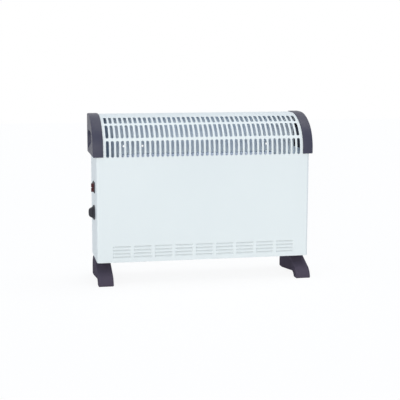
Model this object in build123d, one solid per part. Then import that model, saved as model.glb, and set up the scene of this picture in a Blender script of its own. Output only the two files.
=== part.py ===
from build123d import *
from math import atan2, cos, degrees, hypot, radians, sin
import os

os.makedirs("parts", exist_ok=True)

# Electric convector heater. X runs to the right as the user sees it, Y from front to back, Z up.
# The floor is Z = 0, and the origin is in the middle of the heater's footprint. Sizes are in mm.

# Casing of folded sheet steel, outside sizes
casing_half = 250.5
casing_depth = 122.0
casing_bottom = 50.0
casing_top = 384.0
front_y = -54.0
back_y = front_y + casing_depth
sheet = 0.8
corner_radius = 6.0
fold = 12.0
foot_fold = 40.0

# Rolled top of the front sheet: a tight arc from the flat front, then a wider one to the flat top.
# It is laid out in short flats between points on the arcs.
roll_start = 305.0
roll_depth = 98.0
roll_height = casing_top - roll_start
roll_y = front_y + roll_depth
front_radius = 68.0
flats_by_row = (2, 2, 4)
top_half = 240.0
side_top = 299.0

# Outlet grille: three rows of slots, measured along the sheet from the lower end of the lowest
slot_count = 40
slot_pitch = 11.5
slot_width = 6.2
slot_start = 293.0
slot_lengths = (38.0, 38.0, 28.5)
slot_gap = 6.0
slot_reach = 8.0

# Inlet louvres: short tongues pressed inwards, open along their upper edge
louvre_columns = 9
louvre_rows = 4
louvre_width = 41.4
louvre_height = 5.0
louvre_depth = 3.2
louvre_column_pitch = 48.4
louvre_row_pitch = 7.9
louvre_top = 87.6

# End caps: moulded covers with a scooped hand recess in the outer side
cap_half = 258.2
cap_inner = 234.5
cap_bottom = 294.0
cap_back = front_y + 132.0
cap_front_proud = 3.0
cap_top_proud = 1.5
cap_wall = 2.6
cap_rear_radius = 5.0
cap_edge = 1.6
recess_front = front_y + 31.0
recess_back = front_y + 119.0
recess_low = 303.0
recess_high = 349.0
recess_depth = 13.0
recess_floor_top = 336.0
recess_round = 19.0
cap_screw_x = 243.0
cap_screw_heights = (316.0, 368.0)

# Feet: moulded brackets with a curved toe, a shallow arch and a heel
foot_width = 35.0
foot_x = 233.3
toe_y = front_y - 24.5
heel_y = front_y + 122.0
foot_edge = 1.5
foot_wall = 3.0
foot_pocket = 14.0
well_top = 38.0
foot_screw_offsets = (50.0, 80.0)

# Controls on the left side
control_y = front_y + 54.0
knob_z = 160.0
knob_radius = 17.5
knob_sides = 32
knob_gap = 0.5
knob_length = 13.2
knob_grip = 9.4
spindle_radius = 3.0
spindle_play = 0.05
switch_z = 219.5
bezel_length = 34.0
bezel_height = 24.8
bezel_thickness = 2.0
switch_body_length = 31.0
switch_body_height = 22.4
switch_body_depth = 20.0
rocker_spacing = 10.6
rocker_width = 9.0
rocker_play = 0.3
rocker_sweep = 13.0
rocker_tilt = 11.0
rocker_pin_radius = 1.2
rocker_pin_play = 0.05
pivot_inset = 0.6

# Heating duct inside: two bracket plates, a front heat shield and two finned elements
duct_left = -190.0
duct_right = 168.0
bracket_front = front_y + 27.0
bracket_back = front_y + 112.0
bracket_top = 205.0
shield_low = 58.0
shield_top = 296.0
shield_flange = 18.0
element_heights = (112.0, 158.0)
element_y = front_y + 68.0
sheath_radius = 4.2
collar_neck = 5.6
collar_neck_length = 5.0
fin_blade = 19.0
fin_thickness = 1.6
fin_angle = 32.0

# Air slots of the rear panel and of the bottom plate
vent_count = 10
vent_pitch = 28.0
vent_width = 6.0
vent_length = 32.0
vent_heights = (92.0, 134.0)
inlet_count = 9
inlet_pitch = 38.0
inlet_width = 14.0
inlet_length = 30.0
inlet_rows = (front_y + 42.0, front_y + 84.0)

# Screws and the inlet for the supply lead
screw_shank = 1.7
screw_head = 3.6
screw_head_height = 2.2
gland_x = -206.0
gland_z = 84.0
gland_bore = 3.7
gland_body = 6.0
gland_hole = 8.5
earth_x = -212.0
earth_y = back_y - 16.0
bracket_hole_radius = 2.5
bracket_hole_height = 306.0
bracket_middles = (-150.0, 156.0)
bracket_hole_pitch = 45.0


def block(x0, x1, y0, y1, z0, z1):
    # Rectangular solid between two corners
    middle = Pos((x0 + x1) / 2, (y0 + y1) / 2, (z0 + z1) / 2)
    return middle * Box(abs(x1 - x0), y1 - y0, z1 - z0)


def rod(start, end, radius):
    # Round bar from one point to another
    run = Vector(*end) - Vector(*start)
    return extrude(Plane(origin=start, z_dir=run) * Circle(radius), amount=run.length)


def across(face, x0, x1):
    # Solid with the given outline in the Y-Z plane, from one X to another
    return Pos(x0, 0, 0) * extrude(Plane.YZ * face, amount=x1 - x0)


def outline(points):
    # Closed face through corner points
    return make_face(Polyline(*points, close=True))


def prism(start, end, radius, sides=8):
    # Prism from one point to another, whose flats touch a round bar of the given radius
    run = Vector(*end) - Vector(*start)
    section = RegularPolygon(radius, sides, major_radius=False)
    return extrude(Plane(origin=start, z_dir=run) * section, amount=run.length)


def roll_arcs(proud, rise):
    # Centre and radius of the front arc and of the top arc, and the angle where they meet
    depth = roll_depth + proud
    height = roll_height + rise
    low_radius = front_radius + proud
    spread = depth - low_radius
    high_radius = (spread**2 + height**2 - low_radius**2) / (2 * (height - low_radius))
    low_centre = (roll_y - spread, roll_start)
    high_centre = (roll_y, roll_start + height - high_radius)
    return low_centre, low_radius, high_centre, high_radius, degrees(atan2(high_radius - height, spread))


def roll_point(turn, proud, rise):
    # Point on the roll at an angle up from the flat front
    low_centre, low_radius, high_centre, high_radius, meet = roll_arcs(proud, rise)
    (y, z), radius = (low_centre, low_radius) if turn <= meet else (high_centre, high_radius)
    return y - radius * cos(radians(turn)), z + radius * sin(radians(turn))


def flat_turns():
    # Angles of the folds between the roll's short flats: some fall between the rows of slots,
    # and the others divide the sheet evenly between those
    _, low_radius, _, high_radius, meet = roll_arcs(0, 0)
    low_run = low_radius * radians(meet)
    start = roll_start - slot_start
    end = start + low_run + high_radius * radians(90 - meet)
    webs = [start, slot_lengths[0] + slot_gap / 2, sum(slot_lengths[:2]) + 1.5 * slot_gap, end]
    turns = []
    for low, high, flats in zip(webs, webs[1:], flats_by_row):
        turns += [sheet_turn(low + (high - low) * step / flats - start) for step in range(flats)]
    return turns + [90.0]


def sheet_turn(run):
    # Angle reached after a length along the roll
    _, low_radius, _, high_radius, meet = roll_arcs(0, 0)
    low_run = low_radius * radians(meet)
    if run <= low_run:
        return degrees(run / low_radius)
    return meet + degrees((run - low_run) / high_radius)


def sheet_face(inset, low, back):
    # Side view of the space under the rolled front sheet, drawn in by a given amount
    roll = [roll_point(turn, -inset, -inset) for turn in flat_turns()]
    top = casing_top - inset
    return outline([(front_y + inset, low)] + roll + [(back, top), (back, low)])


def cap_face(proud, rise, low, back):
    # Side view of an end cap over the roll, with true arcs
    meet = roll_arcs(proud, rise)[-1]
    start, middle, joint, after, end = [
        roll_point(turn, proud, rise) for turn in (0, meet / 2, meet, (meet + 90) / 2, 90)
    ]
    arcs = [ThreePointArc(start, middle, joint), ThreePointArc(joint, after, end)]
    rest = Polyline(end, (back, end[1]), (back, low), (start[0], low), start)
    return make_face(arcs + [rest])


def plan_face(inset):
    # Plan view of the casing with its two rounded front corners, drawn in by a given amount
    area = Rectangle(2 * (casing_half - inset), casing_depth - 2 * inset)
    area = Pos(0, front_y + casing_depth / 2) * area
    corners = area.vertices().group_by(Axis.Y)[0]
    return fillet(corners, corner_radius - inset)


def sheet_point(length):
    # Point on the sheet's outer face at a length up from the lower end of the lowest slots
    run = length - (roll_start - slot_start)
    if run <= 0:
        return front_y, slot_start + length
    return roll_point(sheet_turn(run), 0, 0)


def slot_cutter(low, length):
    # Block for one slot, square to the line between the slot's two ends
    (y0, z0), (y1, z1) = sheet_point(low), sheet_point(low + length)
    chord = hypot(y1 - y0, z1 - z0)
    middle = Plane(origin=(0, (y0 + y1) / 2, (z0 + z1) / 2), x_dir=(1, 0, 0), z_dir=(0, z0 - z1, y1 - y0))
    return extrude(middle * Rectangle(slot_width, chord), amount=slot_reach, both=True)


def grille_cutters():
    # All the outlet slots, row by row
    cutters = []
    low = 0.0
    for length in slot_lengths:
        cutter = slot_cutter(low, length)
        for index in range(slot_count):
            x = (index - (slot_count - 1) / 2) * slot_pitch
            cutters.append(Pos(x, 0, 0) * cutter)
        low += length + slot_gap
    return cutters


def louvre_places():
    # Middle X and top Z of each inlet louvre
    places = []
    for column in range(louvre_columns):
        x = (column - (louvre_columns - 1) / 2) * louvre_column_pitch
        for row in range(louvre_rows):
            places.append((x, louvre_top - row * louvre_row_pitch))
    return places


def louvre_wedge(x, top, grow):
    # Hollow in front of one louvre's tongue, or grown by one sheet, the tongue with its cheeks
    low = top - louvre_height
    half = louvre_width / 2 + grow
    start = front_y + sheet / 2 if grow else front_y - 1
    slope = [(start, low), (front_y + grow, low), (front_y + louvre_depth + grow, top), (start, top)]
    return across(outline(slope), x - half, x + half)


def front_shell():
    # One folded sheet: front, sides, bottom folds and the rolled top with its grille
    channel = extrude(plan_face(0) - plan_face(sheet), amount=side_top - casing_bottom)
    hem = extrude(plan_face(0), amount=sheet)
    inner_half = casing_half - foot_fold
    hem -= block(-inner_half, inner_half, front_y + fold, back_y + 1, -1, 1)
    lower = Pos(0, 0, casing_bottom) * (channel + hem)
    lower -= block(fold - casing_half, casing_half - fold, back_y - sheet, back_y + 1,
                   casing_bottom - 1, side_top + 1)
    upper = across(sheet_face(0, cap_bottom + 1, back_y), -top_half, top_half)
    under = sheet_face(sheet, cap_bottom, back_y - sheet)
    upper -= across(under, -top_half - 1, top_half + 1)
    upper -= block(-top_half - 1, top_half + 1, back_y - 2, back_y + 1,
                   cap_bottom, casing_top - fold)
    shell = lower + upper
    shell -= grille_cutters()
    shell += [louvre_wedge(x, top, sheet) for x, top in louvre_places()]
    shell -= [louvre_wedge(x, top, 0) for x, top in louvre_places()]
    return shell - control_cutouts() - fixing_holes(screw_shank) - foot_fixing_holes()


def control_cutouts():
    # Openings in the left side for the switch body, the spindle and the two thermostat screws
    half_length = switch_body_length / 2 + 0.2
    half_height = switch_body_height / 2 + 0.2
    outer = -casing_half - 1
    inner = -casing_half + 2
    cuts = [block(outer, inner, control_y - half_length, control_y + half_length,
                  switch_z - half_height, switch_z + half_height)]
    cuts.append(rod((outer, control_y, knob_z), (inner, control_y, knob_z), 5.0))
    for y in thermostat_screw_places():
        cuts.append(prism((outer, y, knob_z), (inner, y, knob_z), 1.6))
    return cuts


def thermostat_screw_places():
    return (control_y - 10.0, control_y + 10.0)


def casing_screw_places():
    # X and Z of the screws that hold the rear panel
    side_x = casing_half - fold / 2
    places = [(side * side_x, z) for side in (-1, 1) for z in (90.0, 270.0)]
    places += [(x, casing_top - fold / 2) for x in (-120.0, 120.0)]
    places += [(x, casing_bottom + 9.5) for x in (-120.0, 120.0)]
    return places


def fixing_holes(radius):
    # Holes for the rear panel's screws, through panel and folds
    return [prism((x, back_y - 4, z), (x, back_y + 4, z), radius, 6)
            for x, z in casing_screw_places()]


def foot_screw_places():
    return [(side * foot_x, front_y + offset) for side in (-1, 1) for offset in foot_screw_offsets]


def foot_fixing_holes():
    # Holes for the foot screws through the side folds and the bottom plate
    low = casing_bottom - 2
    high = casing_bottom + 4
    return [prism((x, y, low), (x, y, high), screw_shank, 6) for x, y in foot_screw_places()]


def sheet_screw(head_at, direction, length):
    # Sheet-metal screw with a six-sided head, which rests on a face at the given point
    start = Vector(*head_at)
    way = Vector(*direction)
    tip = start - way * length
    head = extrude(Plane(origin=head_at, z_dir=way) * RegularPolygon(screw_head, 6), screw_head_height)
    return head + prism(tuple(tip), head_at, screw_shank, 6)


def rear_panel():
    # Flat back with its lower air slots, lead inlet and the holes for wall brackets
    plate = block(-casing_half + 2, casing_half - 2, back_y, back_y + sheet,
                  casing_bottom + 0.4, casing_top - 1)
    face = Plane(origin=(0, back_y - 1, 0), x_dir=(1, 0, 0), z_dir=(0, 1, 0))
    vent = Rectangle(vent_width, vent_length)
    for z in vent_heights:
        for step in range(vent_count):
            x = (step - (vent_count - 1) / 2) * vent_pitch
            plate -= extrude(face * Pos(x, -z) * vent, amount=3)
    for middle in bracket_middles:
        for x in (middle - bracket_hole_pitch / 2, middle + bracket_hole_pitch / 2):
            plate -= rod((x, back_y - 1, bracket_hole_height), (x, back_y + 2, bracket_hole_height),
                         bracket_hole_radius)
    for side in (-1, 1):
        for z in cap_screw_heights:
            x = side * cap_screw_x
            plate -= prism((x, back_y - 1, z), (x, back_y + 2, z), screw_shank, 6)
    plate -= rod((gland_x, back_y - 1, gland_z), (gland_x, back_y + 2, gland_z), gland_hole)
    return plate - fixing_holes(screw_shank)


def bottom_plate():
    # Air inlet plate inside the bottom folds, with an upturned rear lip
    low = casing_bottom + sheet
    plate = Pos(0, 0, low) * extrude(plan_face(1.0), amount=sheet)
    plate += block(-236, 236, back_y - 1.0, back_y, low, low + 14)
    for y in inlet_rows:
        for step in range(inlet_count):
            x = (step - (inlet_count - 1) / 2) * inlet_pitch
            plate -= block(x - inlet_width / 2, x + inlet_width / 2, y - inlet_length / 2,
                           y + inlet_length / 2, low - 1, low + 2)
    plate -= prism((earth_x, earth_y, low - 1), (earth_x, earth_y, low + 2), 2.0)
    return plate - fixing_holes(screw_shank) - foot_fixing_holes()


def recess_wedge(grow):
    # Wedge-shaped space whose floor slopes in on the way up and ends under a lip
    face_x = cap_half + 1
    deep_x = cap_half - recess_depth - grow
    low = recess_low - grow
    high = recess_high + grow
    section = Polyline((face_x, low - 1), (cap_half, low), (deep_x, recess_floor_top),
                       (deep_x, high - 3), (face_x, high), close=True)
    back = recess_back + grow
    length = recess_back - recess_front + 2 * grow
    return Pos(0, back, 0) * extrude(Plane.XZ * make_face(section), amount=length)


def hand_recess():
    # Scoop for the fingers, with an arched outline
    length = recess_back - recess_front
    height = recess_high - recess_low + 2
    arch = RectangleRounded(length, height, recess_round)
    arch = Pos(recess_front + length / 2, recess_high - height / 2) * arch
    return recess_wedge(0) & across(arch, cap_half - recess_depth - 1, cap_half + 2)


def end_cap(side):
    # Cover over one end of the rolled top, drawn for the right side
    body = across(cap_face(cap_front_proud, cap_top_proud, cap_bottom, cap_back),
                  cap_inner, cap_half)
    rear_top = body.edges().filter_by(Axis.X).sort_by(Axis.Y)[-2:].sort_by(Axis.Z)[-1]
    body = fillet(rear_top, cap_rear_radius)
    rim = body.edges().group_by(Axis.X)[-1]
    body = chamfer(rim, cap_edge)
    inside = across(cap_face(0, 0, cap_bottom + cap_wall, cap_back - cap_wall),
                    cap_inner - 1, cap_half - cap_wall)
    body -= inside - recess_wedge(cap_wall)
    body += block(cap_inner, cap_inner + cap_wall, back_y + sheet, cap_back - 1, cap_bottom + 1,
                  casing_top)
    body -= block(cap_inner - 1, casing_half, front_y, back_y + sheet, cap_bottom - 1, side_top + 1)
    body -= hand_recess()
    for z in cap_screw_heights:
        body += block(cap_screw_x - 5, cap_screw_x + 5, back_y + sheet, cap_back - 1, z - 5, z + 5)
        body -= prism((cap_screw_x, back_y, z), (cap_screw_x, cap_back + 1, z), screw_shank, 6)
    if side < 0:
        body = mirror(body, about=Plane.YZ)
    return body


def cap_screws():
    # Two screws through the rear of each end cap into the rear panel
    screws = []
    for side in (-1, 1):
        for z in cap_screw_heights:
            head_at = (side * cap_screw_x, cap_back, z)
            screws.append(sheet_screw(head_at, (0, 1, 0), 14.0))
    return Compound(screws)


def casing_screws():
    # Screws that hold the rear panel on the folds and the bottom plate
    return Compound([sheet_screw((x, back_y + sheet, z), (0, 1, 0), 4.0)
                     for x, z in casing_screw_places()])


def foot_face():
    # Side view of a foot: curved toe, mounting block, curved heel and shallow arch
    ankle_front = front_y + 38.0
    ankle_back = front_y + 92.0
    toe_top = (front_y - 7.5, 24.0)
    toe = ThreePointArc((toe_y, 0), (toe_y + 5.0, 14.5), toe_top)
    instep = TangentArc(toe_top, (ankle_front, 42.0), tangent=toe % 1)
    block_front = Line((ankle_front, 42.0), (ankle_front, casing_bottom))
    block_top = Line((ankle_front, casing_bottom), (ankle_back, casing_bottom))
    heel_back = Line((heel_y, 18.0), (heel_y, 0))
    heel_curve = TangentArc((heel_y, 18.0), (ankle_back, casing_bottom), tangent=(0, 1))
    heel_sole = Line((heel_y, 0), (front_y + 100.0, 0))
    arch = Line((front_y + 100.0, 0), (front_y + 16.0, 10.5))
    arch_front = ThreePointArc((front_y + 16.0, 10.5), (front_y + 2.5, 8.2), (front_y - 4.0, 0))
    toe_sole = Line((front_y - 4.0, 0), (toe_y, 0))
    return make_face([toe, instep, block_front, block_top, heel_curve, heel_back, heel_sole,
                      arch, arch_front, toe_sole])


def on_foot_rim(edge):
    # True for the edges along the toe, instep, heel and back, not those of the sole and arch
    spot = edge.center()
    return spot.Z < casing_bottom - 1 and (spot.Z > 12.0 or spot.Y > heel_y - 1)


def foot(side):
    # One foot with bevelled side edges, a pocket in its top and two screw wells
    left = side * foot_x - foot_width / 2
    body = across(foot_face(), left, left + foot_width)
    for group in (0, -1):
        rim = body.edges().group_by(Axis.X)[group].filter_by(on_foot_rim)
        body = chamfer(rim, foot_edge)
    pocket = (front_y + sum(foot_screw_offsets) / 2, foot_pocket / 2)
    body -= block(left + foot_wall, left + foot_width - foot_wall, pocket[0] - pocket[1],
                  pocket[0] + pocket[1], 22.0, casing_bottom + 1)
    for offset in foot_screw_offsets:
        x = side * foot_x
        y = front_y + offset
        body -= prism((x, y, -1), (x, y, well_top), 4.6)
        body -= prism((x, y, 30.0), (x, y, casing_bottom + 1), screw_shank, 6)
    return body


def foot_screws():
    # Two screws up through each foot into the bottom folds
    return Compound([sheet_screw((x, y, well_top), (0, 0, -1), 16.0)
                     for x, y in foot_screw_places()])


def side_bracket(x, inward):
    # Upright plate at one end of the duct with folds to the shield and the bottom plate
    low = casing_bottom + 2 * sheet
    plate = block(x, x + inward, bracket_front, bracket_back, low, bracket_top)
    front = block(x, x + inward * fold, bracket_front, bracket_front + 1, low + 14, bracket_top)
    base = block(x, x + inward * fold, bracket_front + 14, bracket_back, low, low + 1)
    plate = plate + front + base
    for z in element_heights:
        plate -= prism((x - 3, element_y, z), (x + 3, element_y, z), collar_neck)
    return plate


def element_bracket_left():
    return side_bracket(duct_left, 1)


def element_bracket_right():
    return side_bracket(duct_right, -1)


def heat_shield():
    # Thin plate that keeps the front cool, with a folded lip along its top edge
    rear = bracket_front
    left = duct_left
    right = duct_right
    plate = block(left, right, rear - sheet, rear, shield_low, shield_top)
    lip = block(left, right, rear - sheet, rear + shield_flange, shield_top - sheet, shield_top)
    return plate + lip


def element_fins(z):
    # Aluminium extrusion with four blades around the sheath
    start = duct_left + 26.0
    end = duct_right - 26.0
    blades = RegularPolygon(sheath_radius + 1.6, 8, major_radius=False)
    for angle in (fin_angle, 180 - fin_angle, 180 + fin_angle, -fin_angle):
        reach = (sheath_radius + fin_blade) / 2
        spot = Pos(reach * cos(radians(angle)), reach * sin(radians(angle)))
        blades += spot * Rectangle(sheath_radius + fin_blade, fin_thickness, rotation=angle)
    blades -= RegularPolygon(sheath_radius, 8, major_radius=False)
    return Pos(0, element_y, z) * across(blades, start, end)


def element_sheath(z):
    # Steel-sheathed rod of one element, held between the two bushes
    start = duct_left + collar_neck_length
    end = duct_right - collar_neck_length
    return prism((start, element_y, z), (end, element_y, z), sheath_radius)


def element_insulators():
    # Ceramic bushes that carry the element ends in the bracket plates
    bushes = []
    for z in element_heights:
        for x, way in ((duct_left, -1), (duct_right, 1)):
            inner = (x - way * collar_neck_length, element_y, z)
            outer = (x + way * 6.0, element_y, z)
            collar = prism((x, element_y, z), outer, collar_neck + 2.5)
            bushes.append(collar + prism(inner, (x, element_y, z), collar_neck))
    return Compound(bushes)


def element_terminals():
    # Flat connector tabs on the outer ends of the bushes
    tabs = []
    for z in element_heights:
        for x, way in ((duct_left - 6.0, -1), (duct_right + 6.0, 1)):
            low_x, high_x = sorted((x, x + way * 9.0))
            tabs.append(block(low_x, high_x, element_y - 3.1, element_y + 3.1, z - 0.4, z + 0.4))
    return Compound(tabs)


def cutout_bracket():
    # Small angle on the left bracket plate that holds the thermal cut-out over the elements
    x = duct_left + 1
    top = bracket_top - 3
    upright = block(x, x + 1, element_y - 8, element_y + 8, top - 18, top)
    arm = block(x, x + 44, element_y - 8, element_y + 8, top - 1, top)
    return upright + arm


def thermal_cutout():
    # Bimetal cut-out on the arm: round cap and two connector tabs
    x = duct_left + 33
    z = bracket_top - 3
    body = prism((x, element_y, z), (x, element_y, z + 7), 7.0, 12)
    for side in (-1, 1):
        tab_x = x + side * 8
        body += block(tab_x - 5, tab_x + 5, element_y - 3.1, element_y + 3.1, z + 7, z + 7.8)
    return body


def thermostat_body():
    # Bimetal thermostat behind the left side, held by two ears
    inner = -casing_half + sheet
    body = block(inner + 2, inner + 20, control_y - 15, control_y + 15, knob_z - 17, knob_z + 17)
    for y in thermostat_screw_places():
        body += block(inner, inner + 2, y - 4, y + 4, knob_z - 5, knob_z + 5)
        body -= prism((inner - 1, y, knob_z), (inner + 8, y, knob_z), 1.5)
    for z in (knob_z - 10, knob_z + 10):
        body += block(inner + 20, inner + 29, control_y - 3.1, control_y + 3.1, z - 0.4, z + 0.4)
    bore = spindle_radius + spindle_play
    return body - rod((inner, control_y, knob_z), (inner + 16, control_y, knob_z), bore)


def thermostat_screws():
    # Two small screws through the side, hidden under the knob's skirt
    screws = []
    for y in thermostat_screw_places():
        start = (-casing_half, y, knob_z)
        head = prism((-casing_half - 1.6, y, knob_z), start, 2.6)
        screws.append(head + prism(start, (-casing_half + 7, y, knob_z), 1.5))
    return Compound(screws)


def spindle_end(start, end):
    # Outer end of the spindle, with a flat that the knob pushes on to
    flat = block(end - 1, -casing_half - 3.0, control_y - 4, control_y + 4,
                 knob_z - 4, knob_z - spindle_radius + 0.9)
    return rod((start, control_y, knob_z), (end, control_y, knob_z), spindle_radius) - flat


def thermostat_spindle():
    start = -casing_half + sheet + 15.0
    return spindle_end(start, -casing_half - knob_gap - 10.0)


def thermostat_knob():
    # Knob of a round bevelled skirt and an upright grip bar with a flared, domed outline
    knob = extrude(Plane.YZ * RegularPolygon(knob_radius, knob_sides), amount=-3.2)
    knob = chamfer(knob.edges().group_by(Axis.X)[0], 1.2)
    side = [(-3.2, 15.2), (-6.2, 11.6), (-10.4, 9.8), (-knob_length, 6.4)]
    bar = outline(side + [(x, -z) for x, z in reversed(side)])
    knob += extrude(Plane.XZ * bar, amount=knob_grip / 2, both=True)
    knob -= prism((0, 0, 0), (-2.2, 0, 0), 12.9, 12) - prism((0, 0, 0), (-2.2, 0, 0), 5.2)
    base = -casing_half - knob_gap
    knob = Pos(base, control_y, knob_z) * knob
    return knob - spindle_end(-casing_half, base - 10.0)


def rocker_places():
    return (switch_z + rocker_spacing / 2, switch_z - rocker_spacing / 2)


def pivot_x():
    return -casing_half + pivot_inset


def switch_frame():
    # Double switch: bezel outside, body inside, and a window with bearings for each rocker
    outer = -casing_half - bezel_thickness
    inner = -casing_half + switch_body_depth
    half = bezel_length / 2
    bezel = block(outer, -casing_half, control_y - half, control_y + half,
                  switch_z - bezel_height / 2, switch_z + bezel_height / 2)
    bezel = chamfer(bezel.edges().group_by(Axis.X)[0], 0.8)
    body = block(-casing_half, inner, control_y - switch_body_length / 2,
                 control_y + switch_body_length / 2, switch_z - switch_body_height / 2,
                 switch_z + switch_body_height / 2)
    frame = bezel + body
    cavity = rocker_sweep + 0.6
    for z in rocker_places():
        half_width = rocker_width / 2 + rocker_play
        frame -= block(outer - 1, -casing_half + 10, control_y - cavity, control_y + cavity,
                       z - half_width, z + half_width)
        bearing = rocker_pin_radius + rocker_pin_play
        frame -= block(pivot_x() - bearing, -casing_half + 10, control_y - bearing,
                       control_y + bearing, z - half_width - 0.45, z + half_width + 0.45)
    for y in (control_y - 8, control_y + 8):
        for z in rocker_places():
            frame += block(inner, inner + 9, y - 0.4, y + 0.4, z - 2.4, z + 2.4)
    return frame


def rocker(z):
    # Dished key that tips about an upright pin, drawn level and then tipped with its rear end out
    face = Circle(rocker_sweep)
    dish = outline([(-20, 7.4 + 1.4), (0, 5.3), (20, 7.4 + 1.4), (20, 30), (-20, 30)])
    face -= dish
    face -= Pos(0, -15.5) * Rectangle(60, 25)
    key = extrude(face, amount=rocker_width)
    pin = RegularPolygon(rocker_pin_radius, 8)
    key += Pos(0, 0, -0.7) * extrude(pin, amount=rocker_width + 1.4)
    tipped = Rot(0, 0, 90 - rocker_tilt) * key
    return Pos(pivot_x(), control_y, z - rocker_width / 2) * tipped


def gland_block(half, y0, y1):
    return block(gland_x - half, gland_x + half, y0, y1, gland_z - half, gland_z + half)


def cable_gland():
    # Flanged bush in the rear panel for the supply lead
    outer = back_y + sheet
    bush = gland_block(gland_body, outer - 9.0, outer)
    flange = gland_block(gland_body + 3, outer, outer + 3)
    flange = chamfer(flange.edges().filter_by(Axis.Y), 4.0)
    bore = rod((gland_x, outer - 10, gland_z), (gland_x, outer + 4, gland_z), gland_bore)
    return bush + flange - bore


def terminal_block():
    # Three-way block on the bottom plate, where the supply lead is joined to the wiring
    low = casing_bottom + 2 * sheet
    base = block(-226, -200, back_y - 46, back_y - 30, low, low + 5)
    for step in range(3):
        x = -222.0 + step * 9.0
        base += block(x - 3.6, x + 3.6, back_y - 45, back_y - 31, low + 5, low + 14)
    return base


def earth_screw():
    # Earth stud and nut on the bottom plate
    low = casing_bottom + 2 * sheet
    nut = Pos(earth_x, earth_y, low) * extrude(RegularPolygon(4.0, 6), amount=3)
    stud = prism((earth_x, earth_y, low - sheet), (earth_x, earth_y, low + 9), 2.0)
    return nut + stud


def write(shape, name):
    export_step(shape, "parts/" + name + ".step")


def main():
    write(front_shell(), "front_shell")
    write(rear_panel(), "rear_panel")
    write(bottom_plate(), "bottom_plate")
    write(end_cap(-1), "end_cap_left")
    write(end_cap(1), "end_cap_right")
    write(cap_screws(), "cap_screws")
    write(casing_screws(), "casing_screws")
    write(foot(-1), "foot_left")
    write(foot(1), "foot_right")
    write(foot_screws(), "foot_screws")
    write(element_bracket_left(), "element_bracket_left")
    write(element_bracket_right(), "element_bracket_right")
    write(heat_shield(), "heat_shield")
    for name, z in zip(("lower", "upper"), element_heights):
        write(element_fins(z), "element_fins_" + name)
        write(element_sheath(z), "element_sheath_" + name)
    write(element_insulators(), "element_insulators")
    write(element_terminals(), "element_terminals")
    write(cutout_bracket(), "cutout_bracket")
    write(thermal_cutout(), "thermal_cutout")
    write(thermostat_body(), "thermostat_body")
    write(thermostat_screws(), "thermostat_screws")
    write(thermostat_spindle(), "thermostat_spindle")
    write(thermostat_knob(), "thermostat_knob")
    write(switch_frame(), "switch_frame")
    for name, z in zip(("upper", "lower"), rocker_places()):
        write(rocker(z), "rocker_" + name)
    write(cable_gland(), "cable_gland")
    write(terminal_block(), "terminal_block")
    write(earth_screw(), "earth_screw")


main()
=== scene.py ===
from math import asin, atan2, cos, hypot, pi, radians, sin

import bmesh
import bpy
from mathutils import Matrix, Vector


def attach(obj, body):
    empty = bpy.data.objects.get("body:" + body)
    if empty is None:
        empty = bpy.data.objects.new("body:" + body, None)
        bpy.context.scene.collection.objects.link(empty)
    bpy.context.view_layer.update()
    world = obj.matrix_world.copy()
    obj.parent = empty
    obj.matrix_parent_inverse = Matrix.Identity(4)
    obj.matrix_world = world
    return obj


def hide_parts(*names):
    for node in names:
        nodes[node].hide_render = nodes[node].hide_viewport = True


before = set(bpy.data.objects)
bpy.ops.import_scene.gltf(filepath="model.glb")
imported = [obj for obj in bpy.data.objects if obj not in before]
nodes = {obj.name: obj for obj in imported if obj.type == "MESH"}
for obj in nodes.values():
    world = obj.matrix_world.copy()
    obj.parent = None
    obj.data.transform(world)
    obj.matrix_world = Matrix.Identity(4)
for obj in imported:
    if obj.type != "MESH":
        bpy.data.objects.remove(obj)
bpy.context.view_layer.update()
print("frame loaded:", len(nodes), "nodes")

# The casing's sizes in mm, as in the part's source, and the steps that its bends are drawn with
casing = dict(half=250.5, frontY=-54.0, backY=68.0, low=50.0, top=384.0, sheet=0.8,
              corner=6.0, cornerSteps=8, sideTop=299.0, topHalf=240.0, topStrips=7, fold=12.0,
              footFold=40.0)
roll = dict(start=305.0, depth=98.0, frontRadius=68.0)


def mm(x, y, z):
    return Vector((x, y, z)) * 0.001


def newMesh(name, bm, material, smooth=True):
    bmesh.ops.remove_doubles(bm, verts=bm.verts, dist=2e-6)
    mesh = bpy.data.meshes.new(name)
    bm.to_mesh(mesh)
    bm.free()
    obj = bpy.data.objects.new(name, mesh)
    bpy.context.scene.collection.objects.link(obj)
    mesh.materials.append(material)
    for poly in mesh.polygons:
        poly.use_smooth = smooth
    return obj


def softEdges(obj, width, angle, segments=2):
    # Rounds by a width in mm the edges that bend more than an angle in degrees
    bevel = obj.modifiers.new("edgeRounding", "BEVEL")
    bevel.width = width * 0.001
    bevel.segments = segments
    bevel.limit_method = "ANGLE"
    bevel.angle_limit = radians(angle)
    normals = obj.modifiers.new("evenNormals", "WEIGHTED_NORMAL")
    normals.keep_sharp = True


def bake(obj):
    # Keeps what the modifiers made, and drops the modifiers
    depsgraph = bpy.context.evaluated_depsgraph_get()
    mesh = bpy.data.meshes.new_from_object(obj.evaluated_get(depsgraph))
    obj.modifiers.clear()
    obj.data = mesh


def faceAlong(bm, corners):
    # A face that is there already is left as it is
    try:
        bm.faces.new(corners)
    except ValueError:
        pass


def bridge(bm, ringA, ringB, closed=True):
    # Quads between two rings with the same number of vertices
    count = len(ringA)
    last = count if closed else count - 1
    for i in range(last):
        j = (i + 1) % count
        faceAlong(bm, (ringA[i], ringA[j], ringB[j], ringB[i]))


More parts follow.
